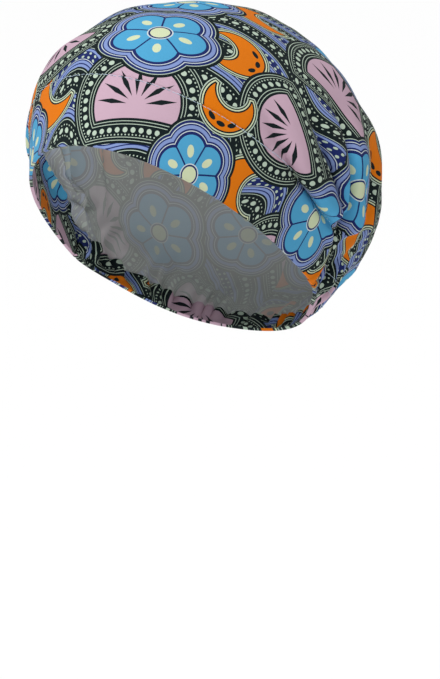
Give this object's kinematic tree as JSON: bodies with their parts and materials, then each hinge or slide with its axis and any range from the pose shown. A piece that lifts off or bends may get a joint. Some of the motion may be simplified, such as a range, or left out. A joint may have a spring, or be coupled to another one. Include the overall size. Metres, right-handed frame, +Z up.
{
  "type": "chemo cap",
  "caption": "Soft gathered head covering, worn form: smooth printed crown slouching into a rear pouch, doubled hem band over the forehead, elastic casing at the nape",
  "frame": {"origin": "On the inner face of the crown, where the top of the wearer's head touches it.", "axes": "+Z is up, out of the head. -Y is the way the wearer faces, and the pouch hangs towards +Y. +X is the wearer's left."},
  "size_m": [0.1899, 0.2327, 0.1916],
  "materials": {
    "printed_cotton": "matte",
    "band_cotton": "matte",
    "casing_cotton": "matte"
  },
  "bodies": {
    "root": {"crown": "printed_cotton", "front_band": "band_cotton", "nape_casing": "casing_cotton"}
  },
  "joints": []
}
